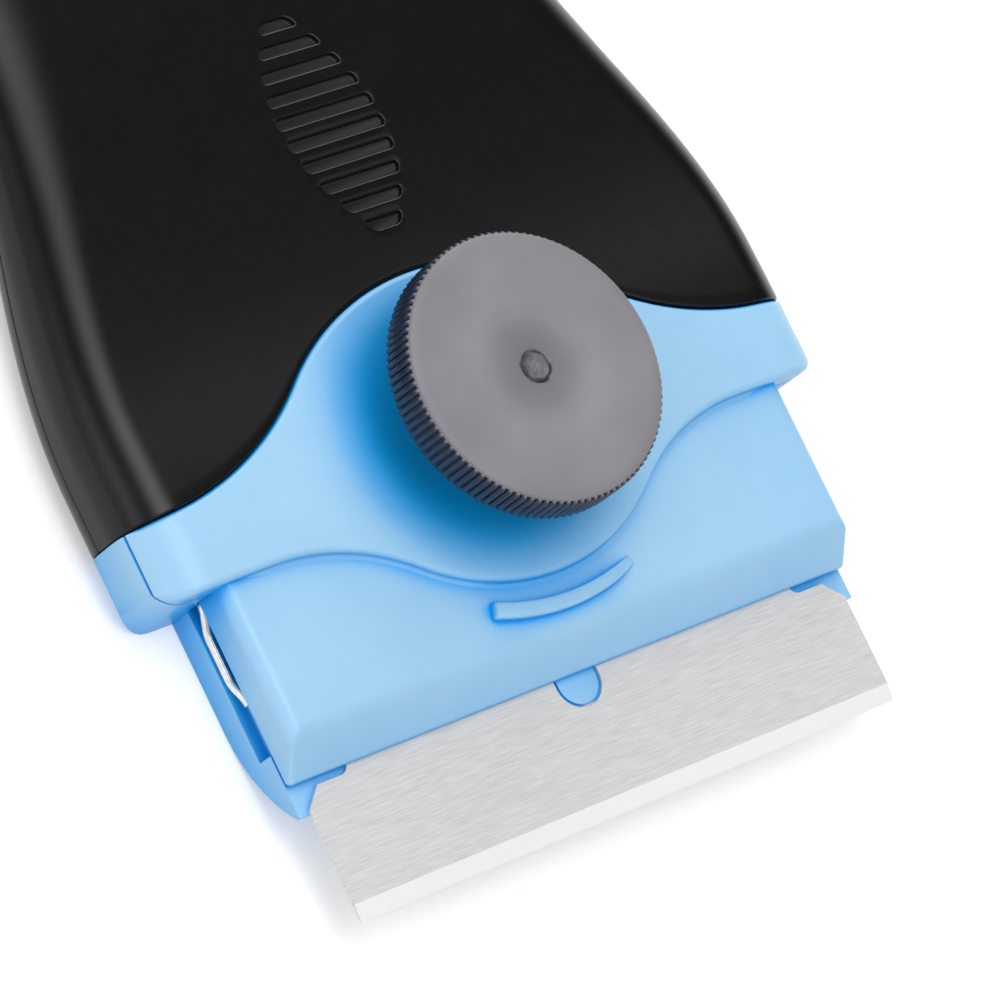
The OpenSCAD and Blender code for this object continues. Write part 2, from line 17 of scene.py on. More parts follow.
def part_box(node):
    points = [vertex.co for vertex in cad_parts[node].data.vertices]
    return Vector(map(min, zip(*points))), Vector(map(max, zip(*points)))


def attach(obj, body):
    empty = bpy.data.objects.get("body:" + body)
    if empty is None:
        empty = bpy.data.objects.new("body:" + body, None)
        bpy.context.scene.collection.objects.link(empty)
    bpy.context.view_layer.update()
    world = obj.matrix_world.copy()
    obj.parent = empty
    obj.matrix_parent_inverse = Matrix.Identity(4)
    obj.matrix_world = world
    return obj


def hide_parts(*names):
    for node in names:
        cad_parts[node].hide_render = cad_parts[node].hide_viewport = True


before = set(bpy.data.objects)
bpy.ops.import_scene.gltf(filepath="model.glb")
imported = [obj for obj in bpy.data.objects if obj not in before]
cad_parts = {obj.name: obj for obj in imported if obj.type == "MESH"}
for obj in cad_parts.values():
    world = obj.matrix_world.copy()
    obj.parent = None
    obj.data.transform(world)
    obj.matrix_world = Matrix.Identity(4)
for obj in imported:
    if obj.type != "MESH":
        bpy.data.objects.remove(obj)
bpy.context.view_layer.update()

MM = 0.001
knob_low, knob_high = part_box("knob")
AXIS_Y = (knob_low[1] + knob_high[1]) / 2 / MM

# %% [markdown]
# ## Sizes
# The lengths are those of the CAD model, in millimetres. Only the thumb dip and the shoulder beside it
# follow the photograph more closely. Y counts from the axis of the knob towards the tail, and Z from the
# table. The lengths could be measured on the meshes, but written out they can be read.

# %% Sizes of head and handle
HEAD_X, HEAD_H, CLAMP_Z = 23.2, 6.4, 3.3
PLATE_X, PLATE_Z, CLAMP_REACH = 19.65, 5.8, 14.8
# Crest, foot of the ear, radius of the round and radius of the hollow, behind and before the knob
BACK = (8.4, 0.3, 15.8, 18.0)
FRONT = (9.7, 4.1, 12.9, 13.1)
SHOULDER_R, KEEL_R, HEAD_FIT = 3.0, 2.0, 0.07
SHELL_Z, TAIL_REACH, TAIL_L = 2.2, 95.7, 20.0
TAIL_Y = TAIL_REACH - TAIL_L
FLANK_Y, WAIST_Y, PALM_Y, FLAT_Y, THUMB_Y = 4.0, 34.0, 60.0, 79.2, 40.0
WAIST_X, PALM_X = 17.3, 19.75
THUMB_DIP, PALM_RISE, TAIL_RISE, PALM_CROWN = 2.6, 1.8, 0.6, 0.5
TAIL_POWER = 2.5


def ease(a, b, v):
    """Soft step from 0 at a to 1 at b."""
    t = min(1.0, max(0.0, (v - a) / (b - a)))
    return t * t * (3 - 2 * t)


def mix(a, b, t):
    """Value at the share t of the way from a to b."""
    return a + (b - a) * t


def band_edge(x, shape, grow=0.0):
    """Plan curve of the head: a round about the knob, a hollow tangent to it, then the straight ear."""
    crest, foot, round_r, hollow_r = shape
    centre, hollow = crest - round_r, foot + hollow_r
    far = math.sqrt(max(1.0, (round_r + hollow_r) ** 2 - (hollow - centre) ** 2))
    a = abs(x)
    if a <= far * (round_r + grow) / (round_r + hollow_r):
        return centre + math.sqrt((round_r + grow) ** 2 - a * a)
    if a < far:
        return hollow - math.sqrt((hollow_r - grow) ** 2 - (far - a) ** 2)
    return foot + grow


def fall(v, end, r):
    """How far an edge rounded by r has fallen at v, close to end."""
    u = min(1.0, max(0.0, (abs(v) - end + r) / r))
    return r * (1 - math.sqrt(1 - u * u))


def handle_x(y):
    """Half width of the handle: flank, waist, palm, then a rounded tail."""
    flank = mix(HEAD_X, WAIST_X, ease(FLANK_Y, WAIST_Y, y))
    body = mix(flank, PALM_X, ease(WAIST_Y, PALM_Y, y))
    s = min(1.0, max(0.0, (y - TAIL_Y) / TAIL_L))
    return max(body * (1 - s ** TAIL_POWER) ** (1 / TAIL_POWER), 0.5)


def handle_z(y):
    """Height of the handle's top: thumb dip, palm swell, flat tail."""
    return (HEAD_H - THUMB_DIP * ease(BACK[1] + HEAD_FIT, THUMB_Y, y)
            + (THUMB_DIP + PALM_RISE) * ease(WAIST_Y, PALM_Y, y)
            - (PALM_RISE - TAIL_RISE) * ease(PALM_Y, FLAT_Y, y)
            - fall(y, TAIL_REACH, SHOULDER_R))


print("waist", 2 * handle_x(WAIST_Y), "wide and", round(handle_z(WAIST_Y), 2), "high")

# %% [markdown]
# ## Helpers
# Most pieces are grids of points that a short formula places, row after row. Sculpting could give the same
# forms, but a formula keeps to the CAD sizes. The helpers turn points in millimetres into a closed mesh in
# the frame's metres, merge what coincides and turn the faces outwards.

# %% Mesh helpers
MERGE = 1e-7


def in_frame(x, y, z):
    """Millimetres from the knob's axis as metres of the frame."""
    return (x * MM, (y + AXIS_Y) * MM, z * MM)


def from_frame(place):
    """Metres of the frame as millimetres from the knob's axis."""
    return place.x / MM, place.y / MM - AXIS_Y, place.z / MM


def add_object(name, data):
    """New object with these data, in the scene."""
    piece = bpy.data.objects.new(name, data)
    bpy.context.collection.objects.link(piece)
    return piece


@contextmanager
def editing(mesh):
    """Opens a mesh for edits and writes the result back."""
    work = bmesh.new()
    work.from_mesh(mesh)
    yield work
    work.to_mesh(mesh)
    work.free()


def new_piece(name, points, faces):
    """Closed mesh from points in millimetres."""
    mesh = bpy.data.meshes.new(name)
    mesh.from_pydata([in_frame(*p) for p in points], [], faces)
    with editing(mesh) as work:
        bmesh.ops.remove_doubles(work, verts=work.verts, dist=MERGE)
        bmesh.ops.dissolve_degenerate(work, edges=work.edges, dist=MERGE / 10)
        bmesh.ops.recalc_face_normals(work, faces=work.faces)
    return add_object(name, mesh)

# %% Lofts and turned forms
def loft(name, rings):
    """Closed skin over rings with equally many points, flat at both ends."""
    n = len(rings[0])
    points = [p for ring in rings for p in ring]
    faces = [(i * n + j, i * n + (j + 1) % n, (i + 1) * n + (j + 1) % n, (i + 1) * n + j)
             for i in range(len(rings) - 1) for j in range(n)]
    faces += [tuple(range(n)), tuple(range((len(rings) - 1) * n, len(rings) * n))]
    return new_piece(name, points, faces)


def lathe(name, profile, sides, centre=(0.0, 0.0)):
    """Profile of (radius, height) turned about the upright axis through centre."""
    rings = [[(centre[0] + r * math.cos(2 * math.pi * k / sides),
               centre[1] + r * math.sin(2 * math.pi * k / sides), z) for k in range(sides)]
             for r, z in profile]
    return loft(name, rings)


def arc(cu, cv, r, start, stop, n):
    """Points on an arc about (cu, cv), from one angle to another in degrees."""
    return [(cu + r * math.cos(math.radians(a)), cv + r * math.sin(math.radians(a)))
            for a in np.linspace(start, stop, n + 1)]

# %% Modifiers made real
def settle(piece):
    """Applies the live modifiers, so that a plain mesh is left."""
    view = bpy.context.evaluated_depsgraph_get()
    done = bpy.data.meshes.new_from_object(piece.evaluated_get(view))
    piece.modifiers.clear()
    piece.data = done
    return piece


def combine(piece, other, operation, careful=False):
    """Boolean of two closed pieces. The second one is used up."""
    step = piece.modifiers.new("combine", "BOOLEAN")
    step.operation, step.object, step.solver = operation, other, "EXACT"
    step.use_self, step.use_hole_tolerant = careful, careful
    settle(piece)
    bpy.data.objects.remove(other)
    return piece


def gather(name, pieces):
    """Several closed pieces as one mesh."""
    work = bmesh.new()
    for piece in pieces:
        work.from_mesh(piece.data)
        bpy.data.objects.remove(piece)
    mesh = bpy.data.meshes.new(name)
    work.to_mesh(mesh)
    work.free()
    return add_object(name, mesh)

# %% Shading, finish and body
def soften(piece, angle=32):
    """Smooth shading, with sharp edges kept above the angle in degrees."""
    for face in piece.data.polygons:
        face.use_smooth = True
    piece.data.set_sharp_from_angle(angle=math.radians(angle))


def seat(piece, body, finish, slot, *nodes):
    """Gives a piece its finish, its body and the CAD nodes that it stands for."""
    piece.data.materials.clear()
    piece.data.materials.append(finish)
    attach(piece, body)
    if nodes:
        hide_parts(*nodes)
    print(piece.name, len(piece.data.vertices), "points on", body)


def cad_copy(node, name):
    """A merged copy of a CAD node's mesh, ready for bevels."""
    piece = add_object(name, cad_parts[node].data.copy())
    with editing(piece.data) as work:
        bmesh.ops.remove_doubles(work, verts=work.verts, dist=MERGE)
        bmesh.ops.dissolve_limit(work, verts=work.verts, edges=work.edges, angle_limit=math.radians(0.5))
    return piece

# %% [markdown]
# ## Finishes
# The tool is gloss black and satin blue plastic, matt grey plastic and several steels. A finish could be a
# picture wrapped round the piece, but noise in the piece's own Object coordinates needs no unwrapping and is
# sharp at any distance. It gives moulded plastic its faint clouding and steel its brushed lines.

# %% Node helpers
def new_finish(name, sockets):
    """Material with its shader's sockets set."""
    finish = bpy.data.materials.new(name)
    finish.use_nodes = True
    shader = finish.node_tree.nodes["Principled BSDF"]
    for key, value in sockets.items():
        shader.inputs[key].default_value = value
    return finish, finish.node_tree, shader


def add(tree, kind, settings=None, links=None):
    """New node with its settings and links."""
    node = tree.nodes.new(kind)
    for key, value in (settings or {}).items():
        if key in node.inputs and not hasattr(node, key):
            node.inputs[key].default_value = value
        else:
            setattr(node, key, value)
    for key, source in (links or {}).items():
        tree.links.new(source, node.inputs[key])
    return node

# %% Nodes that make values and colours
def object_noise(tree, scale, stretch=(1, 1, 1), detail=3.0):
    """Noise in millimetres of the piece, stretched along an axis where a size is larger."""
    place = add(tree, "ShaderNodeTexCoord").outputs["Object"]
    turned = add(tree, "ShaderNodeMapping", links={"Vector": place})
    turned.inputs["Scale"].default_value = [1000 / s for s in stretch]
    noise = add(tree, "ShaderNodeTexNoise", {"Scale": scale, "Detail": detail}, {"Vector": turned.outputs[0]})
    return noise.outputs["Fac"]


def ramp(tree, source, stops):
    """Colour ramp through stops of (place, colour)."""
    node = add(tree, "ShaderNodeValToRGB", links={"Fac": source})
    marks = node.color_ramp.elements
    while len(marks) < len(stops):
        marks.new(0.5)
    for mark, (place, colour) in zip(marks, stops):
        mark.position, mark.color = place, (*colour, 1)
    return node.outputs["Color"]


def spread(tree, source, low, high, start=0.0, stop=1.0):
    """Maps start to low and stop to high."""
    settings = {"From Min": start, "From Max": stop, "To Min": low, "To Max": high}
    return add(tree, "ShaderNodeMapRange", settings, {"Value": source}).outputs["Result"]


def plug(tree, socket, source):
    """Links a socket to another one, or sets it to a value."""
    if isinstance(source, bpy.types.NodeSocket):
        tree.links.new(source, socket)
    else:
        socket.default_value = source


def math_node(tree, operation, *sources):
    """One step of arithmetic on sockets or values."""
    node = add(tree, "ShaderNodeMath", {"operation": operation})
    for socket, source in zip(node.inputs, sources):
        plug(tree, socket, source)
    return node.outputs[0]


def blend(tree, share, first, second, kind="MIX"):
    """Mix of two colours."""
    node = add(tree, "ShaderNodeMix", {"data_type": "RGBA", "blend_type": kind})
    for key, source in (("Factor", share), ("A", first), ("B", second)):
        plug(tree, node.inputs[key], source)
    return node.outputs["Result"]


def relief(tree, shader, source, depth, strength):
    """Bump of a depth in millimetres."""
    bump = add(tree, "ShaderNodeBump", {"Strength": strength, "Distance": depth * MM}, {"Height": source})
    tree.links.new(bump.outputs["Normal"], shader.inputs["Normal"])


def object_axis(tree, axis):
    """One coordinate of the piece, in metres."""
    place = add(tree, "ShaderNodeTexCoord").outputs["Object"]
    return add(tree, "ShaderNodeSeparateXYZ", links={"Vector": place}).outputs[axis]

# %% [markdown]
# ### Black plastic
# The handle is polished black plastic, a little duller on the floors of the grip pockets. A plain black
# would look like a hole, so a faint cloud in colour and sheen and a very shallow bump break up what it
# mirrors. The pocket floors are told apart by a named attribute that the mesh carries.

# %% Black plastic of the handle
def black_gloss():
    """Polished black, a little greyer and duller on the floors of the grip pockets."""
    finish, tree, shader = new_finish("black_gloss", {"Specular IOR Level": 0.34})
    cloud = ramp(tree, object_noise(tree, 0.35), [(0.3, (0.0022, 0.0022, 0.0024)),
                                                  (0.7, (0.0034, 0.0034, 0.0036))])
    grip = add(tree, "ShaderNodeAttribute", {"attribute_name": "grip"}).outputs["Fac"]
    tree.links.new(blend(tree, grip, cloud, (0.012, 0.012, 0.0125, 1)), shader.inputs["Base Color"])
    sheen = spread(tree, object_noise(tree, 2.5), 0.14, 0.24)
    tree.links.new(math_node(tree, "MULTIPLY_ADD", grip, 0.3, sheen), shader.inputs["Roughness"])
    relief(tree, shader, object_noise(tree, 0.25, detail=1.0), 0.02, 0.5)
    return finish


black = black_gloss()
print("handle:", black.name)

# %% [markdown]
# ### Blue plastic
# The jaws are satin sky-blue plastic that lets a little light in. Light alone would turn their shaded folds
# grey, so their creases, and the clamp where the knob's shadow falls, get a deeper blue as painted shade. An
# Ambient Occlusion node measures how closed in a spot is and mixes in the painted shade, and a little
# subsurface scattering softens the edges.

# %% Blue plastic of the jaws
# Painted shade in the creases: its blue, its lean as if the light came from one side, and its reach in
# millimetres
PAINTED_SHADE_BLUE = (0.0, 0.38, 0.9, 1)
PAINTED_SHADE_LEAN = (0.42, 0.16, 0)
PAINTED_SHADE_REACH = 6.0


def blue_with_painted_shade(name, shut, clear):
    """Sky blue with painted shade in creases, full at the occlusion called shut and gone at the one called
    clear.
    """
    finish, tree, shader = new_finish(name, {"Specular IOR Level": 0.5, "Subsurface Weight": 0.15,
                                             "Subsurface Scale": 0.0006})
    shader.inputs["Subsurface Radius"].default_value = (0.3, 0.7, 1.0)
    open_blue = ramp(tree, object_noise(tree, 0.3), [(0.3, (0.36, 0.635, 0.88)), (0.7, (0.385, 0.655, 0.9))])
    normal = add(tree, "ShaderNodeNewGeometry").outputs["Normal"]
    lean = add(tree, "ShaderNodeVectorMath", {"operation": "ADD"}, {0: normal})
    lean.inputs[1].default_value = PAINTED_SHADE_LEAN
    # The occlusion, the knob's cast shadow included, sets where the painted shade goes
    painted_shade = add(tree, "ShaderNodeAmbientOcclusion", {"samples": 8, "Distance": PAINTED_SHADE_REACH * MM},
                 {"Normal": lean.outputs[0]})
    share = spread(tree, painted_shade.outputs["AO"], 0.0, 1.0, shut, clear)
    tree.links.new(blend(tree, share, PAINTED_SHADE_BLUE, open_blue), shader.inputs["Base Color"])
    tree.links.new(spread(tree, object_noise(tree, 3.0), 0.3, 0.42), shader.inputs["Roughness"])
    relief(tree, shader, object_noise(tree, 4.0, detail=2.0), 0.006, 0.6)
    return finish


blue = blue_with_painted_shade("blue_clamp", 0.58, 0.92)
blue_low = blue_with_painted_shade("blue_jaw", 0.25, 1.04)
print("jaws:", blue.name, blue_low.name)

# %% [markdown]
# ### Grey plastic
# The knob is grey plastic with a rough mark in the middle of its face. Its knurl is a darker, bluish grey,
# which is painted shade and a painted reflection of the blue jaws, and a brighter ring across the dish is a
# painted sheen. Two materials on two sets of faces could do it, but with a hard border. One material that
# reads the height and the distance from the axis gives a soft one, and noise on the distance makes the rim
# of the mark ragged.

# %% Grey plastic of the knob
# Heights between which side turns into face, and the radius of the face
FACE_Z, FACE_R = (12.2, 12.34), 7.6
# Share of the knob's radius and brightness: gate mark, its dark rim, the dish and the outer face, where the
# brighter ring midway across the dish is a painted sheen
FACE_SHADE = ((0.0, 0.7), (0.085, 0.55), (0.11, 0.16), (0.135, 0.9),
              (0.3, 0.93), (0.5, 1.06), (0.8, 0.98), (1.0, 0.94))


def from_axis(tree):
    """Distance from the knob's axis, in metres."""
    place = add(tree, "ShaderNodeTexCoord").outputs["Object"]
    flat = add(tree, "ShaderNodeMapping", links={"Vector": place})
    flat.inputs["Location"].default_value = (0, -AXIS_Y * MM, 0)
    flat.inputs["Scale"].default_value = (1, 1, 0)
    return add(tree, "ShaderNodeVectorMath", {"operation": "LENGTH"}, {0: flat.outputs[0]}).outputs["Value"]


def grey_knob():
    """Warm grey on the face; a dark blue-grey in the knurl that is painted shade and a painted reflection of
    the jaws.
    """
    finish, tree, shader = new_finish("grey_knob", {"Specular IOR Level": 0.35})
    face = ramp(tree, object_noise(tree, 0.25), [(0.3, (0.235, 0.228, 0.245)), (0.7, (0.27, 0.262, 0.28))])
    # The knurl's dark blue-grey is painted shade and a painted reflection of the blue jaws
    side = ramp(tree, object_noise(tree, 2.2), [(0.3, (0.017, 0.025, 0.05)), (0.7, (0.026, 0.037, 0.07))])
    top = spread(tree, object_axis(tree, "Z"), 0, 1, FACE_Z[0] * MM, FACE_Z[1] * MM)
    ragged = spread(tree, object_noise(tree, 1.6), -0.3 * MM, 0.3 * MM)
    radius = math_node(tree, "ADD", from_axis(tree), ragged)
    share = spread(tree, radius, 0, 1, 0, FACE_R * MM)
    # Rings of brightness across the face, the brighter dish ring a painted sheen
    ring = ramp(tree, share, [(place, (v,) * 3) for place, v in FACE_SHADE])
    shade = blend(tree, 1.0, face, ring, "MULTIPLY")
    tree.links.new(blend(tree, top, side, shade), shader.inputs["Base Color"])
    tree.links.new(spread(tree, top, 0.28, 0.48), shader.inputs["Roughness"])
    relief(tree, shader, object_noise(tree, 5.0, detail=2.0), 0.005, 0.5)
    return finish


grey = grey_knob()
print("knob:", grey.name)

# %% [markdown]
# ### Steels
# The blade is brushed along its edge and ground across its bevel, the wire is bright, and the hardware is
# plated or blackened. A picture of scratches would repeat itself. So one helper stretches noise into lines
# of a given length, and these steer colour, roughness and relief together.

# %% Metals
def brushed(name, dark, light, rough, stretch, metallic=1.0):
    """Steel with lines that are as long as the stretch along each axis, in millimetres."""
    finish, tree, shader = new_finish(name, {"Metallic": metallic})
    lines = object_noise(tree, 1.0, stretch, 4.0)
    shine = ramp(tree, lines, [(0.35, (dark,) * 3), (0.65, (light,) * 3)])
    tree.links.new(shine, shader.inputs["Base Color"])
    tree.links.new(spread(tree, lines, rough * 0.8, rough * 1.25), shader.inputs["Roughness"])
    relief(tree, shader, lines, 0.004, 0.5)
    return finish


steel = brushed("blade_steel", 0.63, 0.77, 0.5, (1.5, 0.045, 1.0), 0.35)
# The ground bevel is a paler, nearly unmetallic copy of the steel: ground lines with a painted highlight
ground_and_glint = brushed("ground_glint_steel", 0.89, 0.92, 0.45, (0.06, 0.9, 1.0), 0.1)
bright = brushed("spring_bright", 0.66, 0.8, 0.16, (0.3, 0.3, 0.3))
plated = brushed("plated_steel", 0.52, 0.62, 0.3, (0.5, 0.5, 0.1))
blackened = brushed("screw_black", 0.16, 0.26, 0.35, (0.4, 0.4, 0.4))
print("metals:", steel.name, ground_and_glint.name, bright.name, plated.name, blackened.name)

# %% [markdown]
# ## Handle, upper shell
# The upper shell is what the palm and thumb touch: straight foot, rounded shoulder, flat top. A subdivided
# cage could give its swell, but would blur the bell-shaped front that has to meet the head. So it is a loft
# of sections, whose first rows are bent to the bell and whose later rows run square.

# %% Sections of the upper shell
# Chamfer at the parting line, least wall, shoulder at the waist, rounding of the front edge, last bent row
LINE, THIN, WAIST_SHOULDER, EDGE, ROWS_END = 0.07, 0.2, 4.4, 0.14, 10.6


def mirrored(half):
    """A whole section from its right half: x, z, normal x, normal z."""
    return half + [(-x, z, -nx, nz) for x, z, nx, nz in half[-2::-1]]


def upper_section(y):
    """Section of the upper shell from foot to foot."""
    hx, z = handle_x(y), handle_z(y)
    across = min(mix(SHOULDER_R, WAIST_SHOULDER, ease(FLANK_Y, WAIST_Y, y)), 0.9 * hx)
    up = min(SHOULDER_R, z - SHELL_Z - THIN)
    crown = PALM_CROWN * ease(WAIST_Y, PALM_Y, y) * (1 - ease(PALM_Y, FLAT_Y, y))
    half = [(hx - LINE, SHELL_Z, 1, 0), (hx, SHELL_Z + LINE, 1, 0)]
    for a in np.linspace(0, math.pi / 2, 19):
        c, s = math.cos(a), math.sin(a)
        half.append((hx - across + across * c, z - up + up * s, c, s))
    flat = hx - across
    half += [(flat * t, z + crown * (1 - t * t), 0, 1) for t in np.linspace(1, 0, 29)[1:]]
    return mirrored(half)


print("points in a section:", len(upper_section(20.0)))

# %% Rows of a shell whose front follows the head
def front_rows(section, count):
    """Rows from the bell curve of the head back to the first straight row, with a rounded front edge."""
    n = len(section(5.0))
    starts = []
    for j in range(n):
        y = 5.0
        for _ in range(3):
            y = band_edge(section(y)[j][0], BACK, HEAD_FIT)
        starts.append(y)
    rows = []
    for d in (0.0, 0.015, 0.05, 0.09, EDGE):
        drop = EDGE - math.sqrt(max(0.0, EDGE ** 2 - (EDGE - d) ** 2))
        row = []
        for j in range(n):
            x, z, nx, nz = section(starts[j] + d)[j]
            row.append((x - nx * drop, starts[j] + d, z - nz * drop))
        rows.append(row)
    for t in np.linspace(0, 1, count + 1)[1:]:
        row = []
        for j in range(n):
            y = mix(starts[j] + EDGE, ROWS_END, t)
            x, z = section(y)[j][:2]
            row.append((x, y, z))
        rows.append(row)
    return rows


def back_rows(section, start):
    """Square rows to the end of the tail, closer where it rounds off."""
    stops = list(np.arange(start, TAIL_Y, 1.1))
    stops += [TAIL_Y + TAIL_L * math.sin(math.radians(a)) ** 0.8 for a in np.linspace(4, 87, 26)]
    return [[(x, y, z) for x, z, *_ in section(y)] for y in stops]


def grid_faces(rows, cols):
    """Quads between the points of neighbouring rows."""
    return [(i * cols + j, i * cols + j + 1, (i + 1) * cols + j + 1, (i + 1) * cols + j)
            for i in range(rows - 1) for j in range(cols - 1)]


def shell(name, rows):
    """Closes the rows with a front wall, a flat joint face and a small tail cap."""
    n, count = len(rows[0]), len(rows)
    wall = [(x, y, SHELL_Z) for x, y, z in rows[0]]
    points = wall + [p for row in rows for p in row]
    faces = grid_faces(count + 1, n)
    faces.append(tuple(range(count * n, (count + 1) * n)))
    left = [(i + 1) * n + n - 1 for i in range(count)]
    right = [(i + 1) * n for i in range(count)]
    faces.append(tuple(range(n)) + tuple(left) + tuple(right[::-1]))
    return new_piece(name, points, faces)


top_rows = front_rows(upper_section, 14) + back_rows(upper_section, ROWS_END + 0.7)
upper_shell = shell("handle_upper", top_rows)
print("rows along the upper shell:", len(top_rows))

# %% [markdown]
# ## Grip pockets
# On the thumb rest lie ten shallow pockets that fill a lens. A bump in the material could fake them, but it
# would look flat from a low angle. So one Boolean cuts them with rounded blocks, which are flared where they
# leave the surface, and every pocket gets a soft rim that catches the light.

# %% Grip pockets
SLOT_N, SLOT_PITCH, SLOT_W, SLOT_T, SLOT_L, GRIP_Y = 10, 1.4, 0.66, 0.34, 6.6, 17.8
SLOT_MID = (SLOT_N - 1) / 2
POCKET_R, RIM_R, POCKET_LOW = 0.32, 0.1, 3.5


def lens_half(y):
    """Half length of a pocket, so that all ten fill a lens."""
    off = min(SLOT_MID + 0.45, abs(y - GRIP_Y) / SLOT_PITCH)
    return SLOT_L / 2 * (1 - (off / (SLOT_MID + 1)) ** 2)


def rounded(corners, r, n=6):
    """A polygon with each corner replaced by an arc of radius r, or less on a short side."""
    outline = []
    for k, p in enumerate(corners):
        p, before, after = Vector(p), Vector(corners[k - 1]), Vector(corners[(k + 1) % len(corners)])
        to_a, to_b = (before - p), (after - p)
        reach = min(r, 0.48 * to_a.length, 0.48 * to_b.length)
        a, b = p + to_a.normalized() * reach, p + to_b.normalized() * reach
        for t in np.linspace(0, 1, n):
            outline.append(a * (1 - t) ** 2 + p * 2 * t * (1 - t) + b * t ** 2)
    return outline


def pocket_cutter(middle):
    """Block that follows the slope of the top, with a rounded floor and a flared rim."""
    low, high = middle - SLOT_W / 2, middle + SLOT_W / 2
    slope = (handle_z(high) - handle_z(low)) / SLOT_W
    levels = [(-SLOT_T, -0.1), (0.03 - SLOT_T, -0.03), (0.1 - SLOT_T, 0.0)]
    levels += [(RIM_R * (math.sin(a) - 1), RIM_R * (1 - math.cos(a)))
               for a in np.linspace(0, math.pi / 2, 5)]
    levels.append((0.6, RIM_R))
    rings = []
    for height, grow in levels:
        a, b = lens_half(low) + grow, lens_half(high) + grow
        corners = [(-a, low - grow), (a, low - grow), (b, high + grow), (-b, high + grow)]
        rings.append([(x, y, handle_z(middle) + slope * (y - middle) + height)
                      for x, y in rounded(corners, POCKET_R + grow)])
    return loft("pocket_cutter", rings)

# %% Pockets cut, and their floors marked for the finish
pockets = [pocket_cutter(GRIP_Y + (i - SLOT_MID) * SLOT_PITCH) for i in range(SLOT_N)]
combine(upper_shell, gather("pocket_cutters", pockets), "DIFFERENCE", True)
mark = upper_shell.data.attributes.new("grip", "FLOAT", "POINT")
for vertex in upper_shell.data.vertices:
    x, y, z = from_frame(vertex.co)
    inside = abs(x) < SLOT_L and abs(y - GRIP_Y) < SLOT_N * SLOT_PITCH
    sunk = POCKET_LOW < z < handle_z(y) - SLOT_T + 0.12
    mark.data[vertex.index].value = 1.0 if inside and sunk else 0.0
print("points with pockets:", len(upper_shell.data.vertices))

# %% [markdown]
# ## Hanging hole
# The tail has a hole for a hook. A plain pin would cut a sharp rim, which a bevel would then have to find
# and round. A pin that is flared at both ends cuts the hole and its rounded rims at once, in both shells.

# %% Hanging hole with a rounded rim
HANG_Y, HANG_R, RIM = TAIL_REACH - 9.0, 3.0, 0.5
TAIL_H = HEAD_H + TAIL_RISE


def hang_cutter():
    """Pin that is flared at both ends, so that the hole gets rounded rims."""
    profile = [(0.0, -1.0), (HANG_R + RIM, -1.0)]
    profile += arc(HANG_R + RIM, RIM, RIM, 270, 180, 6)
    profile += arc(HANG_R + RIM, TAIL_H - RIM, RIM, 180, 90, 6)
    profile += [(HANG_R + RIM, TAIL_H + 1), (0.0, TAIL_H + 1)]
    return lathe("hang_cutter", profile, 72, (0.0, HANG_Y))


combine(upper_shell, hang_cutter(), "DIFFERENCE", True)
soften(upper_shell, 38)
seat(upper_shell, "handle", black, "black_plastic", "handle_top_shell")

# %% [markdown]
# ## Handle, lower shell
# The lower shell is a shallow tray with a rounded keel, and three counterbores take the screws. It could
# be a mirrored copy of the upper one, but its rounding is smaller, so it gets a section of its own in the
# same rows. Both shells have a hair of a chamfer where they meet, which draws the parting line that a
# moulded handle shows all round.

# %% Lower shell
def lower_section(y):
    """Section of the lower shell from edge to edge."""
    hx = handle_x(y)
    z = fall(y, TAIL_REACH, KEEL_R)
    r = min(KEEL_R, 0.9 * hx, SHELL_Z - z - THIN)
    half = [(hx - LINE, SHELL_Z, 1, 0), (hx, SHELL_Z - LINE, 1, 0)]
    for a in np.linspace(0, math.pi / 2, 11):
        c, s = math.cos(a), math.sin(a)
        half.append((hx - r + r * c, z + r - r * s, c, -s))
    half += [((hx - r) * t, z, 0, -1) for t in np.linspace(1, 0, 25)[1:]]
    return mirrored(half)


keel_rows = front_rows(lower_section, 10) + back_rows(lower_section, ROWS_END + 1.1)
lower_shell = shell("handle_lower", keel_rows)
combine(lower_shell, hang_cutter(), "DIFFERENCE", True)
print("rows along the lower shell:", len(keel_rows))

# %% Counterbores for the screws
SCREWS = ((-8.0, 15.0), (8.0, 15.0), (0.0, 72.1))
SCREW_HEAD_R, SCREW_R, SCREW_TOP = 2.3, 1.3, 1.2
for x, y in SCREWS:
    bore = SCREW_HEAD_R + 0.25
    profile = [(0.0, -1.0), (bore + 0.2, -1.0), (bore + 0.2, 0.0),
               (bore, 0.2), (bore, SCREW_TOP), (0.0, SCREW_TOP)]
    combine(lower_shell, lathe("screw_cutter", profile, 48, (x, y)), "DIFFERENCE")
soften(lower_shell, 38)
seat(lower_shell, "handle", black, "black_plastic", "handle_bottom_shell")

# %% [markdown]
# ## Handle screws
# Three equal screws hold the shells together. They could be copied by hand, but a Geometry Nodes tree that
# sets a copy on each point is the usual way to place what repeats. So one screw is turned on the lathe,
# gets a cross recess and is handed to the tree.

# %% One screw
def box(name, size, middle):
    """Block with a size and a middle."""
    half = [s / 2 for s in size]
    corners = [[(middle[0] + sx * half[0], middle[1] + sy * half[1], middle[2] + sz * half[2])
                for sx, sy in ((-1, -1), (1, -1), (1, 1), (-1, 1))] for sz in (-1, 1)]
    return loft(name, corners)


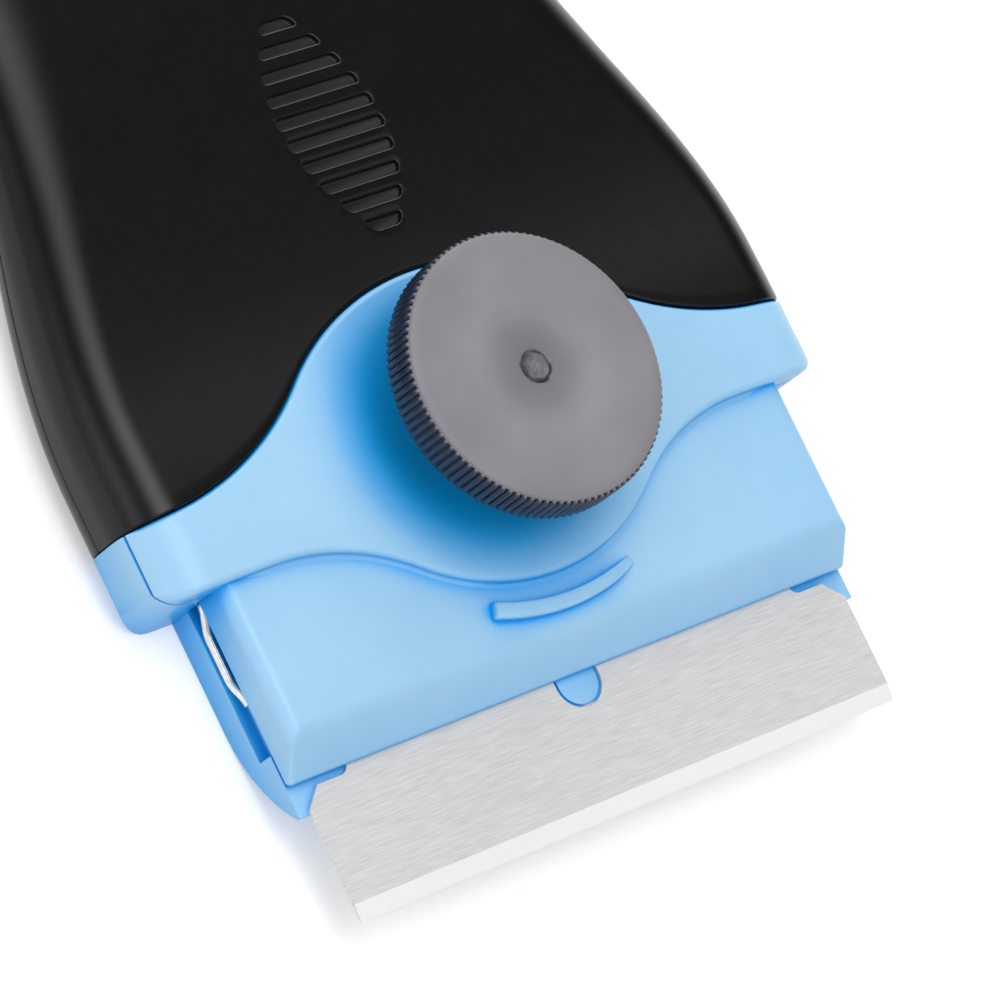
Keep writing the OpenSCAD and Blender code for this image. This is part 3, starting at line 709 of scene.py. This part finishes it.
screw_profile = [(0.0, 0.2), (1.5, 0.22), (1.95, 0.3), (2.2, 0.45), (SCREW_HEAD_R, 0.62),
                 (SCREW_HEAD_R, SCREW_TOP), (SCREW_R, SCREW_TOP), (SCREW_R, 3.9), (1.0, 4.2), (0.0, 4.2)]
screw = lathe("screw_shape", screw_profile, 40, (0.0, -AXIS_Y))
for size in ((2.4, 0.55, 1.4), (0.55, 2.4, 1.4)):
    combine(screw, box("recess", size, (0.0, -AXIS_Y, 0.2)), "DIFFERENCE")
print("points of a screw:", len(screw.data.vertices))

# %% Trees that set copies
def new_tree(name, inputs):
    """A Geometry Nodes tree with a geometry in and out, and the inputs given as (label, kind)."""
    tree = bpy.data.node_groups.new(name, "GeometryNodeTree")
    for label, kind in (("Geometry", "Geometry"), *inputs, ("Finish", "Material")):
        tree.interface.new_socket(label, in_out="INPUT", socket_type="NodeSocket" + kind)
    tree.interface.new_socket("Geometry", in_out="OUTPUT", socket_type="NodeSocketGeometry")
    return tree, tree.nodes.new("NodeGroupInput").outputs


def copies_on(tree, points, shape):
    """Real copies of an object on points."""
    info = add(tree, "GeometryNodeObjectInfo", links={"Object": shape})
    copies = add(tree, "GeometryNodeInstanceOnPoints",
                 links={"Points": points, "Instance": info.outputs["Geometry"]})
    real = add(tree, "GeometryNodeRealizeInstances", links={"Geometry": copies.outputs["Instances"]})
    return real.outputs["Geometry"]


def close_tree(tree, geometry, finish):
    """Sets the finish and sends the geometry out."""
    paint = add(tree, "GeometryNodeSetMaterial", links={"Geometry": geometry, "Material": finish})
    add(tree, "NodeGroupOutput", links={"Geometry": paint.outputs["Geometry"]})
    return tree


def instance_tree(name):
    """Tree that sets a shape on every point."""
    tree, given = new_tree(name, [("Shape", "Object")])
    return close_tree(tree, copies_on(tree, given["Geometry"], given["Shape"]), given["Finish"])


def run_tree(piece, tree, values):
    """Runs a tree on a piece with inputs set by their identifiers, and keeps the plain mesh."""
    step = piece.modifiers.new(tree.name, "NODES")
    step.node_group = tree
    for item in tree.interface.items_tree:
        if item.in_out == "INPUT" and item.name in values:
            step[item.identifier] = values[item.name]
    settle(piece)
    return piece

# %% Three screws
points = bpy.data.meshes.new("handle_screws_set")
points.from_pydata([in_frame(x, y, 0.0) for x, y in SCREWS], [], [])
screws = add_object("handle_screw_set", points)
run_tree(screws, instance_tree("screw_places"), {"Shape": screw, "Finish": blackened})
bpy.data.objects.remove(screw)
soften(screws)
seat(screws, "handle", blackened, "screw_steel", "handle_screws")

# %% [markdown]
# ## Lower jaw and small hardware
# The lower jaw carries the blade, and the nut and the washer take the pull of the knob. They could be built
# anew, but their CAD solids already have the right shape. A copy of each mesh is merged and gets a fine
# bevel, because a real edge always catches a thread of light.

# %% Lower jaw, nut and washer
def bevelled(node, name, width, angle=35):
    """CAD node with its edges rounded by a width in millimetres."""
    piece = cad_copy(node, name)
    step = piece.modifiers.new("edge", "BEVEL")
    step.width, step.segments, step.limit_method = width * MM, 3, "ANGLE"
    step.angle_limit = math.radians(angle)
    step.use_clamp_overlap = True
    settle(piece)
    soften(piece, 40)
    return piece


seat(bevelled("jaw_base", "lower_jaw", 0.12), "handle", blue_low, "blue_plastic", "jaw_base")
seat(bevelled("captive_nut", "nut", 0.15), "handle", plated, "plated_steel", "captive_nut")
seat(bevelled("knob_washer", "washer", 0.1), "clamp", plated, "plated_steel", "knob_washer")
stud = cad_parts["knob_stud"].data
stud.materials.clear()
stud.materials.append(plated)
print("stud shown as the solid itself, in", plated.name)

# %% [markdown]
# ## Clamp
# The upper jaw is one moulding: a raised band round the knob with an ear on each side, a lower plate with
# a sloping front, and a short curved rib for the finger. It could be carved from a block by many cuts, but
# lofts across the tool follow its curves with clean rows of faces. A Boolean joins band, plate and rib, so
# the moulding is one closed skin.

# %% Raised band with its ears
EAR_LOW, BAND_R, EAR_CORNER_R = 4.7, 0.4, 2.0
FOOT_R = 0.3
# Where the round of the shoulder comes down to the underside of the ear
EAR_END = HEAD_X - SHOULDER_R + math.sqrt(SHOULDER_R ** 2 - (EAR_LOW + 0.04 - HEAD_H + SHOULDER_R) ** 2)


def band_ring(x, low):
    """Section of the band: flat foot, rounded edges, and a small hollow where it meets the plate."""
    front = -band_edge(x, FRONT) + fall(x, HEAD_X, EAR_CORNER_R)
    back = band_edge(x, BACK) - fall(x, HEAD_X, 0.4)
    high = HEAD_H - fall(x, HEAD_X, SHOULDER_R)
    r = min(BAND_R, 0.45 * (high - low))
    foot = FOOT_R * (1 - ease(PLATE_X - 3.0, PLATE_X - 1.2, abs(x)))
    base = PLATE_Z if abs(x) < PLATE_X else low
    ring = [(back, low)] + arc(back - r, high - r, r, 0, 90, 6) + arc(front + r, high - r, r, 90, 180, 6)
    lift = min(foot, max(0.0, high - r - base))
    ring += [(front - foot + foot * math.cos(a), max(base, low) + lift * (1 + math.sin(a)))
             for a in np.linspace(0, -math.radians(80), 6)]
    ring.append((ring[-1][0], low))
    return [(x, y, z) for y, z in ring]


turns = np.linspace(-90, 90, 161)
spots = [EAR_END * math.sin(math.radians(t)) for t in turns]
STEP = 1e-6
stations = [(x, EAR_LOW) for x in spots if x < -PLATE_X] + [(-PLATE_X - STEP, EAR_LOW), (-PLATE_X, CLAMP_Z)]
stations += [(x, CLAMP_Z) for x in spots if abs(x) < PLATE_X]
stations += [(PLATE_X, CLAMP_Z), (PLATE_X + STEP, EAR_LOW)] + [(x, EAR_LOW) for x in spots if x > PLATE_X]
clamp = loft("clamp", [band_ring(x, low) for x, low in stations])
print("ears end at", round(EAR_END, 2))

# %% Front plate
FRONT_SLOPE, FRONT_LIP, PLATE_R, CORNER_R = 2.1, 0.35, 0.8, 0.25


def plate_ring(x):
    """Section of the plate: flat top, soft brow, slope, lip and underside."""
    top = PLATE_Z - fall(x, PLATE_X, PLATE_R)
    reach = CLAMP_REACH - fall(x, PLATE_X, CORNER_R)
    side = fall(x, PLATE_X, 0.1)
    rear = -band_edge(x, FRONT)
    low = CLAMP_Z + FRONT_LIP - side
    brow = FRONT_SLOPE - reach
    run = [(rear + 1.2, PLATE_Z)] + [(mix(rear, brow + 0.5, t), PLATE_Z) for t in np.linspace(0, 1, 8)]
    for t in np.linspace(0, 1, 7)[1:]:
        y = brow + 0.5 - t
        run.append((y, PLATE_Z - (PLATE_Z - low) / FRONT_SLOPE * 0.5 * t * t))
    end = run[-1]
    run += [(mix(end[0], 0.12 - reach, t), mix(end[1], low + 0.12, t)) for t in (0.25, 0.5, 0.75, 1.0)]
    run += [(0.03 - reach, low + 0.02), (-reach, low - 0.1),
            (-reach, CLAMP_Z + 0.05), (0.05 - reach, CLAMP_Z)]
    ring = [(y, max(min(z, top), CLAMP_Z)) for y, z in run]
    ring += [(rear + 0.05, CLAMP_Z), (rear + 1.2, CLAMP_Z + 0.5)]
    return [(x, y, z) for y, z in ring]


plate = loft("plate", [plate_ring(PLATE_X * math.sin(math.radians(t))) for t in np.linspace(-90, 90, 91)])
combine(clamp, plate, "UNION")
print("clamp with plate:", len(clamp.data.vertices))

# %% Finger rib and bore
BORE_R = 2.3
RIB_R, RIB_W, RIB_H, RIB_HALF = 14.5, 1.0, 0.6, 20.0
RIB_Y = FRONT[2] - FRONT[0]


def rib_ring(angle):
    """Section of the rib: upright flanks, rounded top, cut off square on the left, fading on the right."""
    left = min(1.0, (angle + RIB_HALF) * math.radians(RIB_R) / 0.12)
    right = min(1.0, (RIB_HALF - angle) * math.radians(RIB_R) / 3.0)
    rise = RIB_H * min(0.6 + 0.4 * left, 0.05 + 0.95 * math.sin(right * math.pi / 2))
    half = RIB_W / 2 * mix(0.72, 1.0, (RIB_HALF - angle) / (2 * RIB_HALF))
    half *= 0.5 + 0.5 * min(1.0, 3 * right) ** 0.5
    half -= 0.06 * (1 - left)
    r = min(0.28, 0.8 * rise)
    run = [(half, -0.3)] + [(half - r + r * math.cos(a), rise - r + r * math.sin(a))
                            for a in np.linspace(0, math.pi / 2, 6)]
    run += [(-u, v) for u, v in run[::-1]]
    a = math.radians(angle - 90)
    return [((RIB_R + u) * math.cos(a), RIB_Y + (RIB_R + u) * math.sin(a), PLATE_Z + v) for u, v in run]


angles = np.concatenate((np.linspace(-RIB_HALF, 0.6 - RIB_HALF, 4),
                         np.linspace(1.4 - RIB_HALF, RIB_HALF - 0.2, 56)))
rib = loft("rib", [rib_ring(a) for a in angles])
combine(clamp, rib, "UNION")
combine(clamp, lathe("bore", [(0.0, 2.0), (BORE_R, 2.0), (BORE_R, 8.0), (0.0, 8.0)], 64), "DIFFERENCE")
soften(clamp, 36)
seat(clamp, "clamp", blue, "blue_plastic", "clamp_plate")

# %% [markdown]
# ## Knob
# The knob is a turned form: a hub, a thin head, a shallow dish and the rough mark that the moulding gate
# left in its middle. Its straight knurl could be a bump in the material, but then the outline would stay
# smooth. So the core comes from the lathe, and a tree sets 110 real ridges round the rim.

# %% Knob core
KNOB_Z, KNOB_TOP, HUB_Z, HUB_R = 9.8, 12.5, 7.2, 4.2
ROOT_R, TIP_R, DISH_T, CHAMFER = 7.63, 7.5, 0.2, 0.3
DISH_R = TIP_R - 0.5

core_profile = [(0.0, HUB_Z), (HUB_R - 0.15, HUB_Z), (HUB_R, HUB_Z + 0.15), (HUB_R, KNOB_Z - 0.3)]
core_profile += arc(HUB_R + 0.3, KNOB_Z - 0.3, 0.3, 180, 90, 4)
core_profile += [(TIP_R, KNOB_Z), (ROOT_R, KNOB_Z + CHAMFER), (ROOT_R, KNOB_TOP - CHAMFER)]
core_profile += [(ROOT_R - 0.01, KNOB_TOP - 0.14), (ROOT_R - 0.05, KNOB_TOP - 0.05), (TIP_R, KNOB_TOP)]
core_profile += [(DISH_R * t, KNOB_TOP - DISH_T * (1 - t * t) ** 1.2) for t in np.linspace(1, 0.16, 16)]

# %% Gate mark and knob core turned
# Share of the mark's radius, and height over the dish
GATE_R = 0.95
GATE = ((1.0, 0.0), (0.94, -0.06), (0.86, -0.02), (0.76, 0.1), (0.62, 0.06),
        (0.45, 0.02), (0.3, 0.07), (0.15, 0.03), (0.0, 0.04))
core_profile += [(GATE_R * r, KNOB_TOP - DISH_T + h) for r, h in GATE]
knob = lathe("knob_head", core_profile, 180)

for vertex in knob.data.vertices:
    x, y, z = from_frame(vertex.co)
    r = math.hypot(x, y)
    if z > KNOB_TOP - 0.4 and r < GATE_R - 0.02:
        turn = math.atan2(y, x)
        vertex.co.z += 0.035 * MM * math.sin(3 * turn + 4 * r) * math.sin(5 * r + 2 * turn)
print("knob core:", len(knob.data.vertices))

# %% Knurl
def knurl_tree():
    """Tree that sets ridges on a ring and joins them to the core."""
    tree, given = new_tree("knurl", [("Ridge", "Object"), ("Ridges", "Int"), ("Ring Radius", "Float"),
                                     ("Middle", "Vector")])
    ring = add(tree, "GeometryNodeMeshCircle",
               links={"Vertices": given["Ridges"], "Radius": given["Ring Radius"]})
    ridges = copies_on(tree, ring.outputs["Mesh"], given["Ridge"])
    place = add(tree, "GeometryNodeTransform", links={"Geometry": ridges, "Translation": given["Middle"]})
    both = add(tree, "GeometryNodeJoinGeometry")
    for part in (given["Geometry"], place.outputs["Geometry"]):
        tree.links.new(part, both.inputs["Geometry"])
    return close_tree(tree, both.outputs["Geometry"], given["Finish"])


RIDGES, RIDGE_R, KNURL_R = 110, 0.2, 7.82
ridge_profile = [(0.0, -1.2), (0.08, -1.18), (RIDGE_R, -1.0), (RIDGE_R, 1.0), (0.08, 1.18), (0.0, 1.2)]
ridge = lathe("ridge", ridge_profile, 8, (0.0, -AXIS_Y))
run_tree(knob, knurl_tree(), {
    "Ridge": ridge, "Ridges": RIDGES, "Ring Radius": (KNURL_R - RIDGE_R) * MM,
    "Middle": (0.0, AXIS_Y * MM, (KNOB_Z + KNOB_TOP) / 2 * MM), "Finish": grey})
bpy.data.objects.remove(ridge)
soften(knob, 40)
seat(knob, "knob", grey, "grey_plastic", "knob")

# %% [markdown]
# ## Lift spring
# One bright wire runs along a leg, across between the jaws and along the other leg, and pushes the clamp up
# when the knob is loosened. It could be a curve object with a bevel, but a piece has to be a plain mesh. So
# a tree turns the bare path into a curve and sweeps a round section along it.

# %% Path of the wire
LEG_X, WIRE_R, BEND_R = 19.25, 0.325, 0.925
LEG_LOW, BAR_Z, SPRING_FRONT, SPRING_BACK = 2.225, 2.925, 10.0, 3.3
BOW = 0.3


def leg_rise(t):
    """Height share along a leg, which is bowed: high at both ends, low between."""
    return 1 - ease(0, BOW, t) + ease(1 - BOW, 1, t)


def leg_path(t):
    """Point at the share t of the way along the right leg."""
    y = mix(-SPRING_FRONT, -SPRING_BACK - BEND_R, t)
    return (LEG_X, y, mix(LEG_LOW, BAR_Z, leg_rise(t)))


half_wire = [leg_path(t) for t in np.linspace(0, 1, 40)]
half_wire += [(x, y, BAR_Z) for x, y in arc(LEG_X - BEND_R, -SPRING_BACK - BEND_R, BEND_R, 0, 90, 12)[1:]]
route = half_wire + [(-x, y, z) for x, y, z in half_wire[::-1]]
print("points along the wire:", len(route))

# %% Wire swept along the path
def wire_tree():
    """Tree that sweeps a round section along a path."""
    tree, given = new_tree("wire", [("Wire Radius", "Float")])
    path = add(tree, "GeometryNodeMeshToCurve", links={"Mesh": given["Geometry"]})
    section = add(tree, "GeometryNodeCurvePrimitiveCircle", {"Resolution": 20},
                  {"Radius": given["Wire Radius"]})
    sweep = add(tree, "GeometryNodeCurveToMesh", {"Fill Caps": True},
                {"Curve": path.outputs["Curve"], "Profile Curve": section.outputs["Curve"]})
    real = add(tree, "GeometryNodeRealizeInstances", links={"Geometry": sweep.outputs["Mesh"]})
    return close_tree(tree, real.outputs["Geometry"], given["Finish"])


line = bpy.data.meshes.new("spring_route")
line.from_pydata([in_frame(*p) for p in route], [(i, i + 1) for i in range(len(route) - 1)], [])
spring = add_object("spring_wire", line)
run_tree(spring, wire_tree(), {"Wire Radius": WIRE_R * MM, "Finish": bright})
with editing(spring.data) as work:
    bmesh.ops.recalc_face_normals(work, faces=work.faces)
soften(spring, 50)
seat(spring, "handle", bright, "spring_steel", "lift_spring")

# %% [markdown]
# ## Blade
# The blade is stamped from thin strip: an outline with chamfered shoulders, rounded inner corners and a
# locating notch, then a ground bevel along the edge. The bevel could be a brighter stripe of paint, but a
# real slope also catches the light from other sides. So two outlines are joined to a thin block, which is
# cut along the bevel's rear line, and the upper edge points are let down.

# %% Outline of the blade
EDGE_Y, LIP_Z, BLADE_T, EDGE_T, BEVEL_W = 22.7, 3.05, 0.25, 0.05, 1.0
BLADE_X, TONGUE_X, SHOULDER_Y, BLADE_BACK = 19.0, 15.7, -15.2, -10.7
NOTCH_R, NOTCH_Y, TONGUE_R, SHOULDER_CUT = 1.5, -15.2, 0.6, 1.1

right = [(BLADE_X - 0.15, -EDGE_Y), (BLADE_X, 0.15 - EDGE_Y), (BLADE_X, SHOULDER_Y - SHOULDER_CUT)]
right += [(BLADE_X - SHOULDER_CUT, SHOULDER_Y)]
right += arc(TONGUE_X + TONGUE_R, SHOULDER_Y + TONGUE_R, TONGUE_R, 270, 180, 8)
right += [(TONGUE_X, BLADE_BACK - 0.3), (TONGUE_X - 0.3, BLADE_BACK), (NOTCH_R, BLADE_BACK)]
right += arc(0.0, NOTCH_Y, NOTCH_R, 0, -90, 16)
outline = right + [(-x, y) for x, y in right[-2::-1]]
print("points in the outline:", len(outline))

# %% Ground edge and faces of the blade
blade = loft("blade_strip", [[(x, y, z) for x, y in outline] for z in (LIP_Z, LIP_Z + BLADE_T)])
BEVEL_Y = (AXIS_Y + BEVEL_W - EDGE_Y) * MM
with editing(blade.data) as work:
    bmesh.ops.bisect_plane(work, geom=work.verts[:] + work.edges[:] + work.faces[:], dist=MERGE,
                           plane_co=(0, BEVEL_Y, 0), plane_no=(0, 1, 0))
    for vertex in work.verts:
        near = BEVEL_Y - vertex.co.y
        if near > 1e-6 and vertex.co.z > (LIP_Z + BLADE_T / 2) * MM:
            vertex.co.z -= (BLADE_T - EDGE_T) * near / BEVEL_W
seat(blade, "blade", steel, "blade_steel", "blade")
# The bevel's faces take the paler steel, which is a painted highlight over its ground lines
blade.data.materials.append(ground_and_glint)
for face in blade.data.polygons:
    face.use_smooth = False
    face.material_index = 1 if face.normal.z > 0.5 and face.normal.y < -0.05 else 0

# %% [markdown]
# ## Floor
# The tool lies on white without a border, and casts a faint shadow. More light could wash the floor out, but
# would bleach the tool too. So the floor's material glows a little for the camera and for what mirrors or
# lets through, and is a plain white card for all other rays. It lies a hair under the tool, so that the two
# never share a surface.

# %% Floor
FLOOR_Z, FLOOR_SIZE = -0.02 * MM, 2.0


def stage_floor():
    """White floor that belongs to the stage, not to the tool."""
    corners = [(x * FLOOR_SIZE, y * FLOOR_SIZE, FLOOR_Z) for x, y in ((-1, -1), (1, -1), (1, 1), (-1, 1))]
    mesh = bpy.data.meshes.new("floor")
    mesh.from_pydata(corners, [], [(0, 1, 2, 3)])
    floor = add_object("floor", mesh)
    finish = bpy.data.materials.new("floor_white")
    finish.use_nodes = True
    tree = finish.node_tree
    tree.nodes.clear()
    matte = add(tree, "ShaderNodeBsdfDiffuse", {"Color": (0.8, 0.8, 0.8, 1)})
    glow = add(tree, "ShaderNodeEmission", {"Strength": 0.35})
    seen = add(tree, "ShaderNodeAddShader", links={0: matte.outputs[0], 1: glow.outputs[0]})
    rays = add(tree, "ShaderNodeLightPath").outputs
    seen_ray = math_node(tree, "MAXIMUM", rays["Is Camera Ray"], rays["Is Glossy Ray"])
    seen_ray = math_node(tree, "MAXIMUM", seen_ray, rays["Is Transmission Ray"])
    choose = add(tree, "ShaderNodeMixShader", links={0: seen_ray, 1: matte.outputs[0], 2: seen.outputs[0]})
    add(tree, "ShaderNodeOutputMaterial", links={"Surface": choose.outputs[0]})
    mesh.materials.append(finish)


stage_floor()
print("floor at", FLOOR_Z, "m")

# %% [markdown]
# ## Light
# The world itself is the studio: a dim room that is white at the horizon, with two long soft boxes whose
# reflections draw the light lines on the handle's shoulder, and three weaker or smaller ones. Lamps could do
# this too, but bumps in the world have no hard border.

# %% Soft boxes and world
def bell(tree, value, middle, width):
    """A soft bump that is 1 at middle and has faded at about twice the width."""
    off = math_node(tree, "DIVIDE", math_node(tree, "SUBTRACT", value, middle), width)
    square = math_node(tree, "MULTIPLY", off, off)
    return math_node(tree, "EXPONENT", math_node(tree, "MULTIPLY", square, -0.5))


# Lean to the right of upright and its width in degrees, place along the tool and its width, strength
SOFT_BOXES = (
    (-2, 14, 0.1, 0.42, 4.6),     # long box overhead
    (-61, 13, 0.1, 0.42, 1.75),   # long box on the left
    (37, 9, 0.225, 0.028, 1.15),  # narrow panel on the right
    (60, 25, 0.8, 0.1, 5.0),      # light behind the tail
    (0, 40, -0.85, 0.2, 0.8),     # weak fill before the blade
)
HORIZON, ROOM, HORIZON_Z = 0.9, 0.15, (0.06, 0.3)


def studio_world():
    """A dim room with a white horizon and the soft boxes."""
    world = bpy.data.worlds.new("studio")
    bpy.context.scene.world = world
    world.use_nodes = True
    tree = world.node_tree
    tree.nodes.clear()
    place = add(tree, "ShaderNodeTexCoord").outputs["Generated"]
    x, y, z = add(tree, "ShaderNodeSeparateXYZ", links={"Vector": place}).outputs
    lean = math_node(tree, "ARCTAN2", x, z)
    light = spread(tree, z, HORIZON, ROOM, *HORIZON_Z)
    for degrees, width, along, length, level in SOFT_BOXES:
        across = bell(tree, lean, math.radians(degrees), math.radians(width))
        box_light = math_node(tree, "MULTIPLY", across, bell(tree, y, along, length))
        light = math_node(tree, "ADD", light, math_node(tree, "MULTIPLY", box_light, level))
    sky = add(tree, "ShaderNodeBackground", links={"Strength": light})
    add(tree, "ShaderNodeOutputWorld", links={"Surface": sky.outputs[0]})


studio_world()
print("soft boxes:", len(SOFT_BOXES))

# %% [markdown]
# ## Camera
# The photograph looks down on the head from the left, with the tool turned in the picture. Such a view could
# be set by eye. Here place, turn and lens were fitted to points of the head, so that the render can be laid
# over the photograph.

# %% Camera
# Place in millimetres from the knob's axis, angles in degrees, lens in millimetres
CAMERA_AT = (-184.25, -47.41, 257.35)
AZIMUTH, ELEVATION, ROLL, LENS = -76.937, 53.240, 53.516, 211.744


def photo_camera():
    """Camera that sees what the photograph shows."""
    a, e, roll = (math.radians(v) for v in (AZIMUTH, ELEVATION, ROLL))
    back = Vector((math.sin(a) * math.cos(e), -math.cos(a) * math.cos(e), math.sin(e)))
    flat_right = Vector((math.cos(a), math.sin(a), 0))
    flat_up = back.cross(flat_right)
    right = flat_right * math.cos(roll) + flat_up * math.sin(roll)
    up = back.cross(right)
    lens = bpy.data.cameras.new("camera")
    lens.lens, lens.sensor_width, lens.clip_start = LENS, 36.0, 0.01
    camera = add_object("camera", lens)
    place = Vector((CAMERA_AT[0], CAMERA_AT[1] + AXIS_Y, CAMERA_AT[2])) * MM
    camera.matrix_world = Matrix.Translation(place) @ Matrix((right, up, back)).transposed().to_4x4()
    bpy.context.scene.camera = camera
    print("camera", round(place.length, 3), "m from the origin")


photo_camera()
bpy.context.scene.view_settings.view_transform = "Standard"
